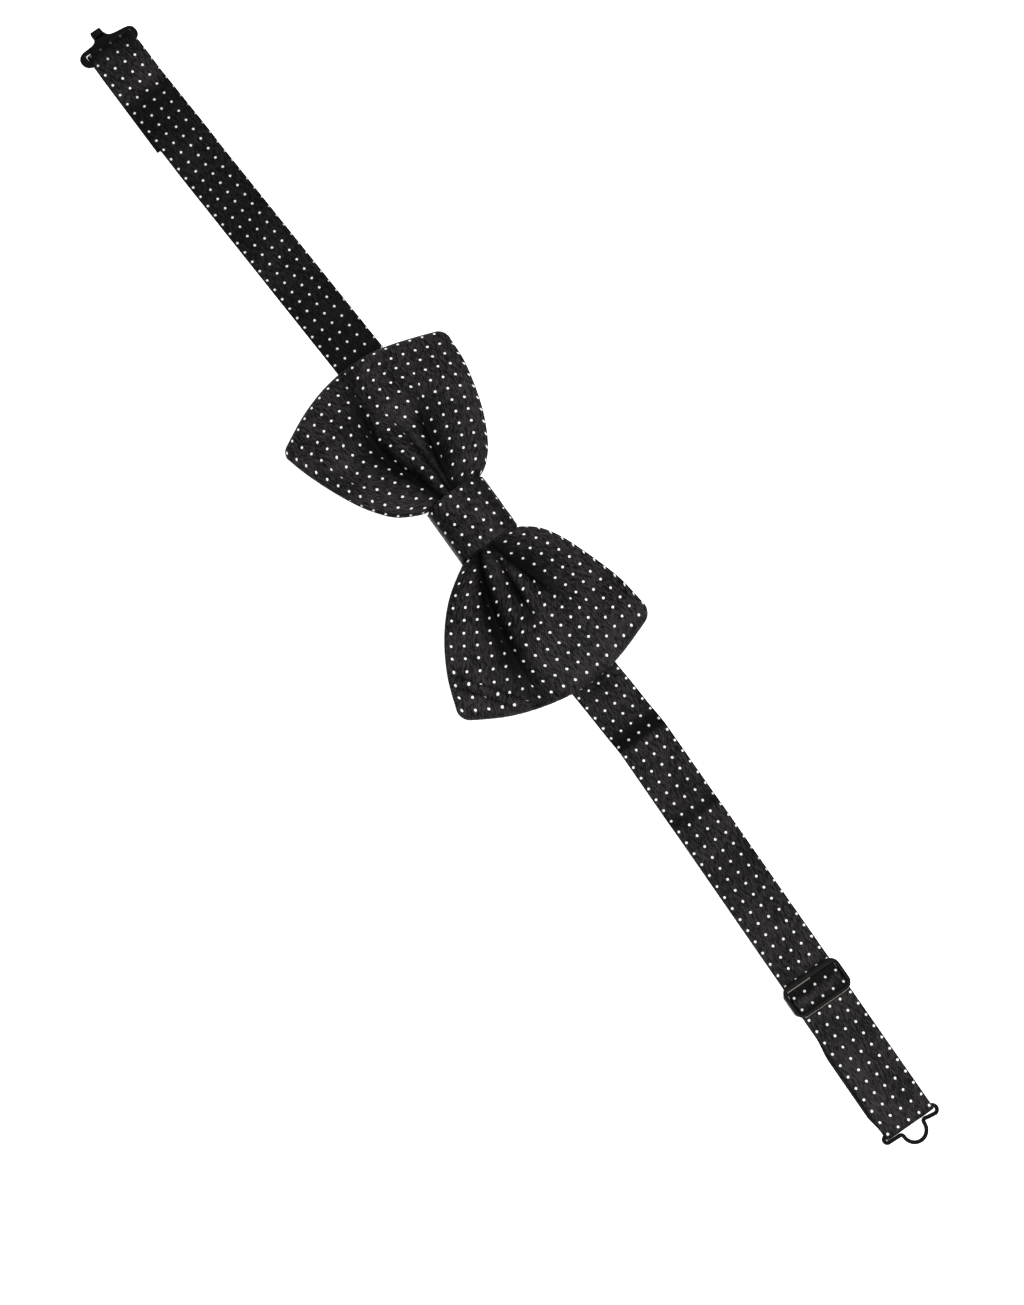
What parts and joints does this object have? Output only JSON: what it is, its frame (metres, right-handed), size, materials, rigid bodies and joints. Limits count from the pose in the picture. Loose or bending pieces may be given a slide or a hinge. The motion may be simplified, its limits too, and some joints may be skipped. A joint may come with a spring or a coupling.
{
  "type": "bow tie",
  "caption": "Ready-tied bow tie in dotted silk: a looped bow held by a knot, on a neckband with a hook, a wire eye and a slider that sets its length.",
  "frame": {"origin": "on the underside of the knot, under the tie's middle, where it lies on the collar or a table", "axes": "+X along the neckband towards the slider and the eye, +Y up when the tie is worn, +Z out of the face of the bow"},
  "size_m": [0.4933, 0.0777, 0.0145],
  "materials": {
    "silk": "twill silk with woven pin dots, soft sheen",
    "lining": "undyed brushed canvas interlining",
    "thread": "black sewing thread",
    "hardware": "black lacquer, satin"
  },
  "bodies": {
    "bow": {"bow_silk": "silk", "bow_canvas": "lining", "bow_back_seam": "thread", "waist_binding": "thread", "knot_silk": "silk", "knot_interlining": "lining", "knot_seam": "thread", "band_centre_silk": "silk", "band_centre_interlining": "lining"},
    "hook_band_near": {"hook_band_near_silk": "silk", "hook_band_near_interlining": "lining"},
    "hook_band_mid": {"hook_band_mid_silk": "silk", "hook_band_mid_interlining": "lining"},
    "hook_band_end": {"hook_band_end_silk": "silk", "hook_band_end_interlining": "lining", "hook_bartack": "thread"},
    "hook": {"hook_plate": "hardware"},
    "adjuster_band_near": {"adjuster_band_near_silk": "silk", "adjuster_band_near_interlining": "lining"},
    "adjuster_band_mid": {"adjuster_band_mid_silk": "silk", "adjuster_band_mid_interlining": "lining"},
    "adjuster_band_end": {"adjuster_band_end_silk": "silk", "adjuster_band_end_interlining": "lining", "adjuster_top_run_silk": "silk", "adjuster_top_run_interlining": "lining"},
    "slider": {"slider_frame": "hardware", "slider_tail_loop": "silk", "slider_bartack": "thread", "adjuster_return_run": "silk"},
    "eye_fold": {"eye_fold_silk": "silk"},
    "eye": {"eye_wire": "hardware"}
  },
  "joints": [
    {"name": "hook_near_bend", "type": "hinge", "parent": "bow", "child": "hook_band_near", "pos_m": [-0.03, 0.0012, 0], "axis": [0, -1, 0], "range_deg": [0, 40]},
    {"name": "hook_mid_bend", "type": "hinge", "parent": "hook_band_near", "child": "hook_band_mid", "pos_m": [-0.07997, 0.00183, 0], "axis": [0.0467, -0.9989, 0], "range_deg": [0, 40]},
    {"name": "hook_end_bend", "type": "hinge", "parent": "hook_band_mid", "child": "hook_band_end", "pos_m": [-0.12992, -0.0005, 0], "axis": [0.0467, -0.9989, 0], "range_deg": [0, 40]},
    {"name": "hook_tilt", "type": "hinge", "parent": "hook_band_end", "child": "hook", "pos_m": [-0.22172, -0.0048, 0.0024], "axis": [-0.0467, 0.9989, 0], "range_deg": [-60, 60]},
    {"name": "adjuster_near_bend", "type": "hinge", "parent": "bow", "child": "adjuster_band_near", "pos_m": [0.03, 0.0012, 0], "axis": [-0.0507, 0.9987, 0], "range_deg": [0, 40]},
    {"name": "adjuster_mid_bend", "type": "hinge", "parent": "adjuster_band_near", "child": "adjuster_band_mid", "pos_m": [0.07994, 0.00374, 0], "axis": [-0.0507, 0.9987, 0], "range_deg": [0, 40]},
    {"name": "adjuster_end_bend", "type": "hinge", "parent": "adjuster_band_mid", "child": "adjuster_band_end", "pos_m": [0.12991, 0.00379, 0.0023], "axis": [0.0202, 0.9998, 0], "range_deg": [0, 40]},
    {"name": "eye_travel", "type": "slide", "parent": "adjuster_band_end", "child": "eye_fold", "axis": [0.9998, -0.0202, 0], "range_m": [-0.028, 0.014], "deforming": ["adjuster_top_run_silk", "adjuster_top_run_interlining"]},
    {"name": "slider_travel", "type": "slide", "parent": "eye_fold", "child": "slider", "axis": [0.9998, -0.0202, 0], "range_m": [-0.028, 0.014], "deforming": ["adjuster_return_run"]},
    {"name": "eye_tilt", "type": "hinge", "parent": "eye_fold", "child": "eye", "pos_m": [0.25188, 0.00133, 0.00153], "axis": [0.0202, 0.9998, 0], "range_deg": [-60, 60]}
  ],
  "couplings": [
    {"joint": "hook_mid_bend", "follows": "hook_near_bend", "ratio": 1},
    {"joint": "hook_end_bend", "follows": "hook_near_bend", "ratio": 1},
    {"joint": "adjuster_mid_bend", "follows": "adjuster_near_bend", "ratio": 1},
    {"joint": "adjuster_end_bend", "follows": "adjuster_near_bend", "ratio": 1},
    {"joint": "slider_travel", "follows": "eye_travel", "ratio": 1}
  ]
}
